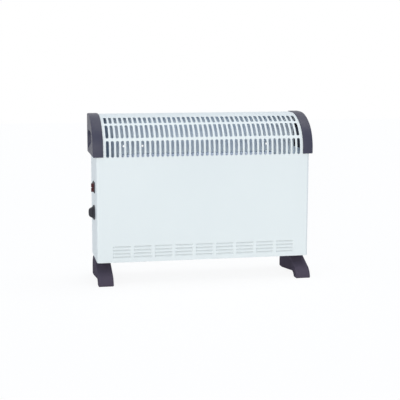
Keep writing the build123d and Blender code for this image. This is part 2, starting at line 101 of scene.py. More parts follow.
def arcThrough(start, middle, end, count):
    # Points on the circle through three points, the first one left out, and the heading at its end
    ax, ay = start
    bx, by = middle
    cx, cy = end
    d = 2 * (ax * (by - cy) + bx * (cy - ay) + cx * (ay - by))
    ux = ((ax**2 + ay**2) * (by - cy) + (bx**2 + by**2) * (cy - ay) + (cx**2 + cy**2) * (ay - by)) / d
    uy = ((ax**2 + ay**2) * (cx - bx) + (bx**2 + by**2) * (ax - cx) + (cx**2 + cy**2) * (bx - ax)) / d
    radius = hypot(ax - ux, ay - uy)
    a0 = atan2(ay - uy, ax - ux)
    a1 = atan2(by - uy, bx - ux)
    a2 = atan2(cy - uy, cx - ux)
    sweep = (a2 - a0) % (2 * pi)
    if (a1 - a0) % (2 * pi) > sweep:
        sweep -= 2 * pi
    way = 1 if sweep > 0 else -1
    points = [(ux + radius * cos(a0 + sweep * i / count), uy + radius * sin(a0 + sweep * i / count))
              for i in range(1, count + 1)]
    return points, (-way * sin(a2), way * cos(a2))


def arcTangent(start, end, heading, count):
    # Points on the circle that leaves the start along the heading and reaches the end
    hx, hy = heading
    size = hypot(hx, hy)
    nx, ny = -hy / size, hx / size
    cx, cy = end[0] - start[0], end[1] - start[1]
    side = 2 * (nx * cx + ny * cy)
    radius = (cx * cx + cy * cy) / side
    ux, uy = start[0] + nx * radius, start[1] + ny * radius
    a0 = atan2(start[1] - uy, start[0] - ux)
    a2 = atan2(end[1] - uy, end[0] - ux)
    sweep = (a2 - a0) % (2 * pi)
    if radius < 0:
        sweep -= 2 * pi
    r = abs(radius)
    return [(ux + r * cos(a0 + sweep * i / count), uy + r * sin(a0 + sweep * i / count))
            for i in range(1, count + 1)]


# Materials: every finish is procedural


def treeOf(name):
    material = bpy.data.materials.new(name)
    material.use_nodes = True
    nodesIn = material.node_tree.nodes
    return material, material.node_tree, nodesIn["Principled BSDF"]


def addNode(tree, kind, **values):
    node = tree.nodes.new(kind)
    for key, value in values.items():
        if key in node.inputs:
            node.inputs[key].default_value = value
        else:
            setattr(node, key, value)
    return node


def objectNoise(tree, scale, detail=2.0):
    place = addNode(tree, "ShaderNodeTexCoord")
    grain = addNode(tree, "ShaderNodeTexNoise", Scale=scale, Detail=detail)
    tree.links.new(place.outputs["Object"], grain.inputs["Vector"])
    return grain


def ranged(tree, source, low, high):
    # The middle part of a noise, spread between two values
    span = addNode(tree, "ShaderNodeMapRange")
    span.inputs["From Min"].default_value = 0.3
    span.inputs["From Max"].default_value = 0.7
    span.inputs["To Min"].default_value = low
    span.inputs["To Max"].default_value = high
    tree.links.new(source, span.inputs["Value"])
    return span.outputs["Result"]


def twoTones(tree, source, toneA, toneB):
    ramp = addNode(tree, "ShaderNodeValToRGB")
    ramp.color_ramp.elements[0].position = 0.3
    ramp.color_ramp.elements[0].color = (*toneA, 1)
    ramp.color_ramp.elements[1].position = 0.7
    ramp.color_ramp.elements[1].color = (*toneB, 1)
    tree.links.new(source, ramp.inputs["Fac"])
    return ramp.outputs["Color"]


def surface(name, look):
    # One finish: two close tones in soft patches, a fine relief and a slightly uneven gloss
    material, tree, shader = treeOf(name)
    patches = objectNoise(tree, look.get("patchScale", 14.0), 3.0)
    tree.links.new(twoTones(tree, patches.outputs["Fac"], look["toneA"], look["toneB"]),
                   shader.inputs["Base Color"])
    gloss = objectNoise(tree, 60.0, 4.0)
    spread = look.get("roughSpread", 0.03)
    tree.links.new(ranged(tree, gloss.outputs["Fac"], look["rough"] - spread, look["rough"] + spread),
                   shader.inputs["Roughness"])
    grain = objectNoise(tree, look["grainScale"])
    relief = addNode(tree, "ShaderNodeBump", Strength=look["grainStrength"], Distance=look["grainDepth"])
    tree.links.new(grain.outputs["Fac"], relief.inputs["Height"])
    if look.get("edge"):
        edge = addNode(tree, "ShaderNodeBevel", Radius=look["edge"])
        edge.samples = 6
        tree.links.new(edge.outputs["Normal"], relief.inputs["Normal"])
    tree.links.new(relief.outputs["Normal"], shader.inputs["Normal"])
    shader.inputs["Metallic"].default_value = look.get("metallic", 0.0)
    shader.inputs["IOR"].default_value = look.get("ior", 1.5)
    shader.inputs["Specular IOR Level"].default_value = look.get("specular", 0.5)
    return material


looks = {
    # satin powder coat with a fine orange peel
    "whitePaint": dict(toneA=(0.785, 0.84, 0.842), toneB=(0.805, 0.858, 0.857), rough=0.42, grainScale=700.0,
                       grainStrength=0.12, grainDepth=0.0004, patchScale=5.0, specular=0.22, edge=0.0005),
    # pale grey-blue tone on the inside of the painted sheets: painted bluish shade for the inside seen
    # through the slots
    "inwardShadeTone": dict(toneA=(0.69, 0.8, 0.91), toneB=(0.73, 0.83, 0.92), rough=0.55, grainScale=500.0,
                        grainStrength=0.1, grainDepth=0.0003, patchScale=8.0, specular=0.3),
    # galvanised sheet of the bottom plate and the brackets
    "bareSteel": dict(toneA=(0.6, 0.66, 0.75), toneB=(0.72, 0.78, 0.87), rough=0.46, roughSpread=0.08,
                      grainScale=160.0, grainStrength=0.1, grainDepth=0.0003, patchScale=90.0,
                      metallic=0.45, edge=0.0004),
    # steel sheet of the heat shield, its tone darkened and blued as painted shade for its lip seen through
    # the slots
    "shieldShadedSteel": dict(toneA=(0.44, 0.52, 0.64), toneB=(0.5, 0.58, 0.7), rough=0.45, roughSpread=0.06,
                        grainScale=160.0, grainStrength=0.06, grainDepth=0.0002, patchScale=90.0,
                        metallic=0.7),
    "screwSteel": dict(toneA=(0.5, 0.49, 0.46), toneB=(0.6, 0.59, 0.57), rough=0.3, grainScale=1500.0,
                       grainStrength=0.06, grainDepth=0.0001, patchScale=300.0, metallic=0.95),
    "capPlastic": dict(toneA=(0.039, 0.04, 0.07), toneB=(0.047, 0.048, 0.078), rough=0.5,
                       grainScale=1500.0, grainStrength=0.22, grainDepth=0.0003, patchScale=20.0,
                       edge=0.0006, specular=0.34),
    "footPlastic": dict(toneA=(0.073, 0.061, 0.087), toneB=(0.082, 0.07, 0.097), rough=0.85,
                        grainScale=1300.0, grainStrength=0.28, grainDepth=0.0003, patchScale=20.0,
                        specular=0.12, ior=1.25),
    "knobPlastic": dict(toneA=(0.021, 0.022, 0.032), toneB=(0.028, 0.029, 0.039), rough=0.45,
                        grainScale=2200.0, grainStrength=0.12, grainDepth=0.0002, patchScale=60.0,
                        specular=0.34),
    "switchPlastic": dict(toneA=(0.02, 0.02, 0.025), toneB=(0.026, 0.026, 0.031), rough=0.45,
                          grainScale=2600.0, grainStrength=0.08, grainDepth=0.0001, patchScale=90.0,
                          edge=0.0004, specular=0.22),
    "rockerPlastic": dict(toneA=(0.045, 0.003, 0.006), toneB=(0.058, 0.004, 0.008), rough=0.3,
                          grainScale=900.0, grainStrength=0.03, grainDepth=0.0001, patchScale=120.0,
                          specular=0.26),
    "finAluminium": dict(toneA=(0.6, 0.61, 0.63), toneB=(0.7, 0.71, 0.73), rough=0.36, grainScale=400.0,
                         grainStrength=0.1, grainDepth=0.0002, metallic=0.95, edge=0.0003),
    "ceramic": dict(toneA=(0.66, 0.62, 0.53), toneB=(0.74, 0.7, 0.61), rough=0.7, grainScale=900.0,
                    grainStrength=0.3, grainDepth=0.0002, patchScale=200.0, edge=0.0004),
    "paleMoulding": dict(toneA=(0.52, 0.5, 0.45), toneB=(0.58, 0.56, 0.5), rough=0.5, grainScale=1200.0,
                         grainStrength=0.15, grainDepth=0.0002, edge=0.0005),
    "brass": dict(toneA=(0.6, 0.42, 0.16), toneB=(0.68, 0.49, 0.22), rough=0.3, grainScale=700.0,
                  grainStrength=0.08, grainDepth=0.0001, metallic=1.0, edge=0.0003),
    "blackPlastic": dict(toneA=(0.022, 0.022, 0.024), toneB=(0.03, 0.03, 0.032), rough=0.45,
                         grainScale=1600.0, grainStrength=0.2, grainDepth=0.0002, edge=0.0005),
    "greyInk": dict(toneA=(0.16, 0.16, 0.17), toneB=(0.19, 0.19, 0.2), rough=0.4, grainScale=900.0,
                    grainStrength=0.05, grainDepth=0.0001),
}
finishes = {name: surface(name, look) for name, look in looks.items()}


def panelPaint():
    # White on the outward side of the rear panel and the grey-blue painted shade tone on its inward side
    material = finishes["whitePaint"].copy()
    material.name = "panelPaint"
    tree = material.node_tree
    shader = tree.nodes["Principled BSDF"]
    white = shader.inputs["Base Color"].links[0].from_socket
    place = addNode(tree, "ShaderNodeTexCoord")
    split = addNode(tree, "ShaderNodeSeparateXYZ")
    tree.links.new(place.outputs["Normal"], split.inputs["Vector"])
    inward = addNode(tree, "ShaderNodeMath", operation="LESS_THAN")
    # The panel is flat, so its normals are near 1, 0 or -1 in depth
    inward.inputs[1].default_value = -0.5
    tree.links.new(split.outputs["Y"], inward.inputs[0])
    # Inputs 6 and 7 are the two colours of a mix, and its output 2 is the mixed one
    tone = addNode(tree, "ShaderNodeMix", data_type="RGBA")
    # The inward side takes the grey-blue tone of painted shade
    tone.inputs[7].default_value = (*looks["inwardShadeTone"]["toneA"], 1)
    tree.links.new(inward.outputs[0], tone.inputs[0])
    tree.links.new(white, tone.inputs[6])
    tree.links.new(tone.outputs[2], shader.inputs["Base Color"])
    return material


finishes["panelPaint"] = panelPaint()
print("finishes:", len(finishes))

nodeFinish = {
    "rear_panel": "panelPaint", "bottom_plate": "bareSteel",
    "element_bracket_left": "bareSteel", "element_bracket_right": "bareSteel",
    "element_fins_lower": "finAluminium", "element_fins_upper": "finAluminium",
    "element_sheath_lower": "bareSteel", "element_sheath_upper": "bareSteel",
    "element_insulators": "ceramic", "element_terminals": "bareSteel", "cutout_bracket": "bareSteel",
    "thermal_cutout": "blackPlastic", "thermostat_body": "paleMoulding", "thermostat_screws": "screwSteel",
    "thermostat_spindle": "brass", "switch_frame": "switchPlastic", "cable_gland": "blackPlastic",
    "terminal_block": "paleMoulding", "earth_screw": "brass",
}
for nodeName, finish in nodeFinish.items():
    nodes[nodeName].data.materials.clear()
    nodes[nodeName].data.materials.append(finishes[finish])


# Front sheet: flat front with pressed louvres, folded sides and the rolled, slotted top

grille = dict(columns=40, pitch=11.5, width=6.8, lowest=293.0, rows=(38.0, 38.0, 28.5), gap=6.0,
              roundSteps=8, straightSteps=5)
# Each step of a cheek or tongue is its place across it and the share of the full depth there
louvres = dict(columns=9, rows=4, width=41.4, height=5.0, depth=3.2, columnPitch=48.4, rowPitch=7.9,
               top=87.6, cheek=1.8, plainFrom=92.0,
               cheekSteps=((0.0, 0.0), (0.3, 0.3), (0.6, 0.72), (1.0, 1.0)),
               tongueSteps=((0.0, 0.0), (0.12, 0.07), (0.3, 0.24), (1.0, 1.0)))
controls = dict(y=0.0, switchZ=219.5, switchHalfY=15.7, switchHalfZ=11.4, knobZ=160.0, spindleHole=5.0)


def rollArcs(proud=0.0, rise=0.0):
    # The two tangent arcs of the roll, drawn out by a given amount
    height = casing["top"] - roll["start"] + rise
    lowRadius = roll["frontRadius"] + proud
    spread = roll["depth"] + proud - lowRadius
    highRadius = (spread**2 + height**2 - lowRadius**2) / (2 * (height - lowRadius))
    rollY = casing["frontY"] + roll["depth"]
    meet = atan2(highRadius - height, spread)
    return ((rollY - spread, roll["start"]), lowRadius,
            (rollY, roll["start"] + height - highRadius), highRadius, meet)


def rollPlace(turn, proud=0.0, rise=0.0):
    # Point of the roll whose outward direction is turned up by this much from the front
    lowCentre, lowRadius, highCentre, highRadius, meet = rollArcs(proud, rise)
    (y, z), radius = (lowCentre, lowRadius) if turn <= meet else (highCentre, highRadius)
    return y - radius * cos(turn), z + radius * sin(turn)


def sheetPlace(run):
    # Outer face of the sheet at a length up from the lower end of the lowest slots
    _, lowRadius, highCentre, highRadius, meet = rollArcs()
    run -= roll["start"] - grille["lowest"]
    if run <= 0:
        return casing["frontY"], roll["start"] + run
    if run <= lowRadius * meet:
        return rollPlace(run / lowRadius)
    run -= lowRadius * meet
    if run <= highRadius * (pi / 2 - meet):
        return rollPlace(meet + run / highRadius)
    return highCentre[0] + run - highRadius * (pi / 2 - meet), casing["top"]


def rollEnd():
    # Length along the sheet up to the end of the roll
    _, lowRadius, _, highRadius, meet = rollArcs()
    return roll["start"] - grille["lowest"] + lowRadius * meet + highRadius * (pi / 2 - meet)


def grilleRows():
    # Lower and upper end of each row of slots, along the sheet
    rows = []
    low = 0.0
    for length in grille["rows"]:
        rows.append((low, low + length))
        low += length + grille["gap"]
    return rows


def slotCell(low, high):
    # Points of one slot's round-ended edge, and of the cell round it, as (across, along) pairs
    w = grille["width"] / 2
    half = grille["pitch"] / 2
    margin = grille["gap"] / 2
    steps = grille["roundSteps"]
    hole = []
    cell = []
    bottomSpots = [(-half, low + w), (-half, low), (-half, low - margin), (-half / 2, low - margin),
                   (0, low - margin), (half / 2, low - margin), (half, low - margin), (half, low),
                   (half, low + w)]
    for i in range(steps + 1):
        angle = pi + pi * i / steps
        hole.append((w * cos(angle), low + w + w * sin(angle)))
        cell.append(bottomSpots[i])
    straight = [low + w + (high - low - 2 * w) * i / grille["straightSteps"]
                for i in range(1, grille["straightSteps"])]
    hole += [(w, s) for s in straight]
    cell += [(half, s) for s in straight]
    topSpots = [(half, high - w), (half, high), (half, high + margin), (half / 2, high + margin),
                (0, high + margin), (-half / 2, high + margin), (-half, high + margin), (-half, high),
                (-half, high - w)]
    for i in range(steps + 1):
        angle = pi * i / steps
        hole.append((w * cos(angle), high - w + w * sin(angle)))
        cell.append(topSpots[i])
    hole += [(-w, s) for s in reversed(straight)]
    cell += [(-half, s) for s in reversed(straight)]
    return hole, cell


def louvreLines():
    # X lines of the flat front, with the depth share of the tongues at each
    half = louvres["width"] / 2
    cheek = louvres["cheek"]
    lines = {}
    for column in range(louvres["columns"]):
        middle = (column - (louvres["columns"] - 1) / 2) * louvres["columnPitch"]
        for step, share in louvres["cheekSteps"]:
            lines[round(middle - half + step * cheek, 4)] = share
            lines[round(middle + half - step * cheek, 4)] = share
    edge = casing["half"] - casing["corner"]
    lines[-edge] = 0.0
    lines[edge] = 0.0
    return sorted(lines.items())


def frontSheet():
    # One connected sheet: neighbouring faces share their vertices
    bm = bmesh.new()
    made = {}

    def vert(x, y, z):
        key = (round(x, 3), round(y, 3), round(z, 3))
        if key not in made:
            made[key] = bm.verts.new(mm(x, y, z))
        return made[key]

    def onSheet(x, run):
        y, z = sheetPlace(run)
        return vert(x, y, z)

    def quad(*corners):
        loop = []
        for corner in corners:
            if corner not in loop:
                loop.append(corner)
        if len(loop) > 2:
            faceAlong(bm, loop)

    frontY, backY = casing["frontY"], casing["backY"]
    outer = casing["half"]
    topHalf = casing["topHalf"]
    edge = outer - casing["corner"]
    rows = grilleRows()
    # Slotted part
    for low, high in rows:
        hole, cell = slotCell(low, high)
        for column in range(grille["columns"]):
            middle = (column - (grille["columns"] - 1) / 2) * grille["pitch"]
            inner = [onSheet(middle + x, s) for x, s in hole]
            around = [onSheet(middle + x, s) for x, s in cell]
            bridge(bm, around, inner)
    # Plain margins beside the slots, and the top behind them
    grilleHalf = grille["columns"] * grille["pitch"] / 2
    runs = set()
    for low, high in rows:
        runs.update(s for x, s in slotCell(low, high)[1] if x < 0)
    runs = sorted(set(round(s, 4) for s in runs))
    top = runs[-1]
    end = rollEnd()
    strips = casing["topStrips"]
    behind = [top + (end - top) * i / strips for i in range(strips + 1)]
    behind.append(end + backY - frontY - roll["depth"])
    for side in (-1, 1):
        allRuns = runs + behind[1:]
        for a, b in zip(allRuns, allRuns[1:]):
            quad(onSheet(side * grilleHalf, a), onSheet(side * topHalf, a), onSheet(side * topHalf, b),
                 onSheet(side * grilleHalf, b))
    acrossTop = [-grilleHalf + grille["pitch"] / 4 * i for i in range(grille["columns"] * 4 + 1)]
    for a, b in zip(behind, behind[1:]):
        for x0, x1 in zip(acrossTop, acrossTop[1:]):
            quad(onSheet(x0, a), onSheet(x1, a), onSheet(x1, b), onSheet(x0, b))
    # Rear fold of the top
    foldLow = casing["top"] - casing["fold"]
    topEdge = [vert(x, backY, casing["top"]) for x in [-topHalf] + acrossTop + [topHalf]]
    faceAlong(bm, topEdge + [vert(topHalf, backY, foldLow), vert(-topHalf, backY, foldLow)])
    # Flat front with its louvres
    xLines = louvreLines()
    tongue = louvres["tongueSteps"]
    zLines = [casing["low"]]
    for row in reversed(range(louvres["rows"])):
        low = louvres["top"] - row * louvres["rowPitch"] - louvres["height"]
        zLines += [round(low + step * louvres["height"], 4) for step, share in tongue]
    plainLow, plainTop = louvres["plainFrom"], grille["lowest"] - grille["gap"] / 2
    zLines.append(plainLow)
    bands = [(zLines[0], zLines[1], 0.0, 0.0)]
    for row in range(louvres["rows"]):
        lines = zLines[1 + len(tongue) * row:]
        for i in range(len(tongue) - 1):
            bands.append((lines[i], lines[i + 1], tongue[i][1], tongue[i + 1][1]))
        bands.append((lines[len(tongue) - 1], lines[len(tongue)], 0.0, 0.0))
    depth = louvres["depth"]
    for (x0, shareA), (x1, shareB) in zip(xLines, xLines[1:]):
        for z0, z1, deep0, deep1 in bands:
            quad(vert(x0, frontY + depth * shareA * deep0, z0), vert(x1, frontY + depth * shareB * deep0, z0),
                 vert(x1, frontY + depth * shareB * deep1, z1), vert(x0, frontY + depth * shareA * deep1, z1))
    # Sides, with the openings for the switch and the spindle in the left one
    spindleHole = controls["spindleHole"]
    sideZ = zLines + [controls["knobZ"] - spindleHole, controls["knobZ"] + spindleHole,
                      controls["switchZ"] - controls["switchHalfZ"],
                      controls["switchZ"] + controls["switchHalfZ"], plainTop, casing["sideTop"]]
    bottomLoop = []
    for side in (-1, 1):
        line = [(side * edge, frontY)]
        for i in range(1, casing["cornerSteps"] + 1):
            turn = pi / 2 * i / casing["cornerSteps"]
            line.append((side * (edge + casing["corner"] * sin(turn)),
                         frontY + casing["corner"] * (1 - cos(turn))))
        for y in (-controls["switchHalfY"], -spindleHole, spindleHole, controls["switchHalfY"], backY):
            line.append((side * outer, y))
        line.append((side * (outer - casing["fold"]), backY))
        for (xa, ya), (xb, yb) in zip(line, line[1:]):
            for z0, z1 in zip(sideZ, sideZ[1:]):
                y, z = (ya + yb) / 2, (z0 + z1) / 2
                atSwitch = (abs(z - controls["switchZ"]) < controls["switchHalfZ"]
                            and abs(y) < controls["switchHalfY"])
                atSpindle = abs(z - controls["knobZ"]) < spindleHole and abs(y) < spindleHole
                if side < 0 and xa == xb and (atSwitch or atSpindle):
                    continue
                quad(vert(xa, ya, z0), vert(xb, yb, z0), vert(xb, yb, z1), vert(xa, ya, z1))
        bottomLoop.append(line[:-1])
        quad(vert(side * edge, frontY, plainTop), vert(side * topHalf, frontY, plainTop),
             vert(side * topHalf, frontY, casing["sideTop"]), vert(side * edge, frontY, casing["sideTop"]))
    # The large plain area between louvres and grille, one face whose border meets all its neighbours
    border = [vert(x, frontY, plainLow) for x, share in xLines]
    border += [vert(edge, frontY, z) for z in sideZ if plainLow < z <= plainTop]
    border += [vert(x, frontY, plainTop) for x in [topHalf] + acrossTop[::-1] + [-topHalf]]
    border += [vert(-edge, frontY, z) for z in reversed(sideZ) if plainLow < z <= plainTop]
    faceAlong(bm, border)
    # Bottom folds: narrow in front and wide over the feet
    low = casing["low"]
    foot = outer - casing["footFold"]
    under = [vert(x, y, low) for x, y in reversed(bottomLoop[0])]
    under += [vert(x, frontY, low) for x, share in xLines[1:-1]]
    under += [vert(x, y, low) for x, y in bottomLoop[1]]
    under += [vert(foot, backY, low), vert(foot, frontY + casing["fold"], low),
              vert(-foot, frontY + casing["fold"], low), vert(-foot, backY, low)]
    faceAlong(bm, under)
    bmesh.ops.recalc_face_normals(bm, faces=bm.faces)
    bm.normal_update()
    plain = max(bm.faces, key=lambda f: f.calc_area())
    if plain.normal.y > 0:
        bmesh.ops.reverse_faces(bm, faces=bm.faces)
    sheet = newMesh("frontSheet", bm, finishes["whitePaint"])
    # The inner face of the sheet takes the grey-blue tone of painted shade
    sheet.data.materials.append(finishes["inwardShadeTone"])
    thick = sheet.modifiers.new("sheetThickness", "SOLIDIFY")
    thick.thickness = casing["sheet"] * 0.001
    thick.offset = -1.0
    thick.use_even_offset = True
    thick.use_quality_normals = True
    thick.material_offset = 1
    softEdges(sheet, width=0.22, angle=40.0)
    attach(sheet, "heater")
    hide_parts("front_shell")
    print("front sheet:", len(sheet.data.polygons), "faces")


frontSheet()


# Heat shield: a plate behind the front, folded back along its top with a small bend

shield = dict(left=-190.0, right=168.0, front=-27.8, back=-9.0, low=58.0, top=296.0, bend=2.8, steps=8)


def shieldSheet():
    # Both faces follow the same bend, one sheet apart
    r = shield["bend"]
    thickness = casing["sheet"]
    centre = (shield["front"] + r, shield["top"] - r)
    outer = [(shield["front"], shield["low"])]
    inner = [(shield["front"] + thickness, shield["low"])]
    for i in range(shield["steps"] + 1):
        turn = pi / 2 * i / shield["steps"]
        outer.append((centre[0] - r * cos(turn), centre[1] + r * sin(turn)))
        inner.append((centre[0] - (r - thickness) * cos(turn), centre[1] + (r - thickness) * sin(turn)))
    outer.append((shield["back"], shield["top"]))
    inner.append((shield["back"], shield["top"] - thickness))
    bm = bmesh.new()
    rims = []
    for x in (shield["left"], shield["right"]):
        rims.append([[bm.verts.new(mm(x, y, z)) for y, z in line] for line in (outer, inner)])
    (leftOuter, leftInner), (rightOuter, rightInner) = rims
    bridge(bm, leftOuter, rightOuter, closed=False)
    bridge(bm, rightInner, leftInner, closed=False)
    bridge(bm, leftInner, leftOuter, closed=False)
    bridge(bm, rightOuter, rightInner, closed=False)
    for i in (0, -1):
        faceAlong(bm, (leftOuter[i], rightOuter[i], rightInner[i], leftInner[i]))
    bmesh.ops.recalc_face_normals(bm, faces=bm.faces)
    # The shield's steel is toned darker as painted shade
    plate = newMesh("shieldSheet", bm, finishes["shieldShadedSteel"])
    plate.data.set_sharp_from_angle(angle=radians(40.0))
    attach(plate, "heater")
    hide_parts("heat_shield")


shieldSheet()
print("heat shield made")


# End caps: moulded covers with a scooped hand recess

# Insets are how far the rings of the recess are drawn in from its rim, outside and on the back
cap = dict(inner=234.5, outer=258.2, low=294.0, backY=78.0, frontProud=3.0, topProud=1.5, wall=2.6,
           rearRound=5.0, rearSteps=6, seatRound=0.4, hollowRound=2.0, edgeCut=0.5, rim=2.4, rimSteps=5,
           rollSteps=26, gap=0.04, sideGap=0.1, seatY=68.9, crestFrom=340.0, recessY=21.0, recessZ=325.0,
           recessHalfY=44.0, recessHalfZ=24.0, recessRound=19.0, recessSteps=8, recessDepth=13.0,
           recessTight=0.4, lipWidth=3.8, slopeLow=303.0, slopeHigh=336.0, blend=0.12, blendReach=0.3,
           insets=(0.0, 0.3, 0.7, 1.1, 1.5, 1.9, 2.3, 2.7, 3.1, 3.5, 3.9, 5.0, 7.0, 10.0, 13.0, 16.0,
                   19.0, 22.5),
           backInsets=(0.0, 0.8, 2.2, 4.0, 8.0, 14.0, 20.0, 22.5), backGrow=1.2,
           screwX=243.0, screwZ=(316.0, 368.0))


def capLine(inset, proud=None, rise=None, back=None, low=None, rearRound=None):
    # Side outline of a cap from its front lower corner over the roll to its rear lower corner
    proud = cap["frontProud"] - inset if proud is None else proud
    rise = cap["topProud"] - inset if rise is None else rise
    back = cap["backY"] - inset if back is None else back
    low = cap["low"] + inset if low is None else low
    rearRound = cap["rearRound"] - inset if rearRound is None else rearRound
    top = casing["top"] + rise
    points = [(casing["frontY"] - proud, low)]
    steps = cap["rollSteps"]
    points += [rollPlace(pi / 2 * i / steps, proud, rise) for i in range(steps + 1)]
    for i in range(cap["rearSteps"] + 1):
        turn = pi / 2 * i / cap["rearSteps"]
        points.append((back - rearRound * (1 - sin(turn)), top - rearRound * (1 - cos(turn))))
    points.append((back, low))
    return points


def recessRing(inset):
    # Round-cornered outline of the recess, drawn in by a given amount
    halfY = cap["recessHalfY"] - inset
    halfZ = cap["recessHalfZ"] - inset
    radius = max(cap["recessRound"] - inset, cap["recessTight"])
    points = []
    for quarter, (sy, sz) in enumerate(((1, 1), (-1, 1), (-1, -1), (1, -1))):
        for i in range(cap["recessSteps"] + 1):
            turn = pi / 2 * (quarter + i / cap["recessSteps"])
            points.append((cap["recessY"] + sy * (halfY - radius) + radius * cos(turn),
                           cap["recessZ"] + sz * (halfZ - radius) + radius * sin(turn)))
    return points


def recessDepth(z, inset):
    # The floor slopes in on the way up, and the wall round it drops in steeply from the rim
    slope = (z - cap["slopeLow"]) / (cap["slopeHigh"] - cap["slopeLow"])
    slope = min(max(slope, 0.0), 1.0)
    drop = min(max(inset / cap["lipWidth"], 0.0), 1.0)
    wall = drop * drop * (3.0 - 2.0 * drop)
    near = max(0.0, 1.0 - abs(slope - wall) / cap["blendReach"])
    blend = cap["blend"] * near ** 2 * min(slope, wall)
    return cap["recessDepth"] * (min(slope, wall) - blend)


def endCap(side):
    # Outer skin with its recess, and a shallower inner skin behind it
    bm = bmesh.new()

    def ring(points, x):
        return [bm.verts.new(mm(side * x, y, z)) for y, z in points]

    gap, seatY, wall = cap["gap"], cap["seatY"], cap["wall"]
    seatLine = capLine(0, gap, gap, seatY, cap["low"], cap["seatRound"])
    seat = ring(seatLine, cap["inner"])
    rings = [seat, ring(capLine(cap["edgeCut"], low=cap["low"]), cap["inner"]),
             ring(capLine(0.0), cap["inner"] + cap["edgeCut"]),
             ring(capLine(0.0), cap["outer"] - cap["rim"])]
    planar = rings[:]
    for i in range(1, cap["rimSteps"] + 1):
        turn = pi / 2 * i / cap["rimSteps"]
        rings.append(ring(capLine(cap["rim"] * (1 - cos(turn))), cap["outer"] - cap["rim"] * (1 - sin(turn))))
    for a, b in zip(rings, rings[1:]):
        bridge(bm, a, b, closed=False)
    for a, b in zip(rings[3:], rings[4:]):
        faceAlong(bm, (a[-1], a[0], b[0], b[-1]))
    # Underside, open where the casing passes through
    under = [r[0] for r in planar] + [r[-1] for r in reversed(planar)]
    under += [bm.verts.new(mm(side * (casing["half"] + cap["sideGap"]), y, cap["low"]))
              for y in (seatY, casing["frontY"] - cap["sideGap"])]
    faceAlong(bm, under)
    # Outer face round the recess, in two halves that meet at the crest and under the recess
    outline = rings[-1]
    hollow = [[bm.verts.new(mm(side * (cap["outer"] - recessDepth(z, inset)), y, z))
               for y, z in recessRing(inset)] for inset in cap["insets"]]
    rim = hollow[0]
    count = len(rim)
    topAt = cap["recessSteps"] + 1
    lowAt = 3 * topAt
    crest = min(range(len(outline)), key=lambda i: abs(outline[i].co.y - rim[topAt].co.y)
                + (outline[i].co.z < cap["crestFrom"] * 0.001))
    faceAlong(bm, outline[:crest + 1] + [rim[i] for i in range(topAt, lowAt + 1)])
    faceAlong(bm, outline[crest:] + [rim[i % count] for i in range(lowAt, count + topAt + 1)])
    faceAlong(bm, (outline[0], rim[lowAt], outline[-1]))
    for a, b in zip(hollow, hollow[1:]):
        bridge(bm, a, b)
    faceAlong(bm, hollow[-1])
    # Inner skin, so that the cap reads as a moulding from the grille's side too
    hollowLine = capLine(0, gap, gap, cap["backY"] - wall, cap["low"] + wall, cap["hollowRound"])
    inside = [ring(seatLine, cap["inner"] + wall), ring(hollowLine, cap["inner"] + wall),
              ring(hollowLine, cap["outer"] - wall)]
    bridge(bm, seat, inside[0], closed=False)
    for a, b in zip(inside, inside[1:]):
        bridge(bm, a, b, closed=False)
    backRings = []
    for inset in cap["backInsets"]:
        backRings.append([bm.verts.new(mm(side * (cap["outer"] - wall - recessDepth(z, inset)), y, z))
                          for y, z in recessRing(inset - cap["backGrow"])])
    back = inside[-1]
    faceAlong(bm, back[:crest + 1] + [backRings[0][i] for i in range(topAt, lowAt + 1)])
    faceAlong(bm, back[crest:] + [backRings[0][i % count] for i in range(lowAt, count + topAt + 1)])
    faceAlong(bm, (back[0], backRings[0][lowAt], back[-1]))
    for a, b in zip(backRings, backRings[1:]):
        bridge(bm, a, b)
    faceAlong(bm, backRings[-1])
    bmesh.ops.recalc_face_normals(bm, faces=bm.faces)
    name = "endCapRight" if side > 0 else "endCapLeft"
    moulding = newMesh(name, bm, finishes["capPlastic"])
    moulding.data.set_sharp_from_angle(angle=radians(42.0))
    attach(moulding, "heater")
    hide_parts("end_cap_right" if side > 0 else "end_cap_left")


for side in (-1, 1):
    endCap(side)
print("end caps made")


# Feet: moulded, with a curved toe, an arch and a heel

# The points of the side outline are (y, z) pairs
feet = dict(x=233.3, width=35.0, edge=2.0, toe=(-78.5, 0.0), toeBulge=(-73.5, 14.5),
            toeTop=(-61.5, 24.0), neck=(-16.0, 42.0), seatBackY=38.0, heel=(68.0, 18.0), archBackY=46.0,
            archTop=(-38.0, 10.5), archBulge=(-51.5, 8.2), archFront=(-58.0, 0.0), arcSteps=8,
            longArcSteps=10, wellRadius=4.6, wellTop=38.0, wellBelow=2.0, screwY=(-4.0, 26.0))


def footLine():
    # From the toe's tip over the top to the heel, and back under the arch
    low = casing["low"]
    seatBack = (feet["seatBackY"], low)
    toe, heading = arcThrough(feet["toe"], feet["toeBulge"], feet["toeTop"], feet["arcSteps"])
    instep = arcTangent(feet["toeTop"], feet["neck"], heading, feet["longArcSteps"])
    heel = arcTangent(feet["heel"], seatBack, (0, 1), feet["longArcSteps"])
    points = [feet["toe"]] + toe + instep + [(feet["neck"][0], low), seatBack] + heel[-2::-1]
    points += [feet["heel"], (feet["heel"][0], 0), (feet["archBackY"], 0), feet["archTop"]]
    return points + arcThrough(feet["archTop"], feet["archBulge"], feet["archFront"], feet["arcSteps"])[0]


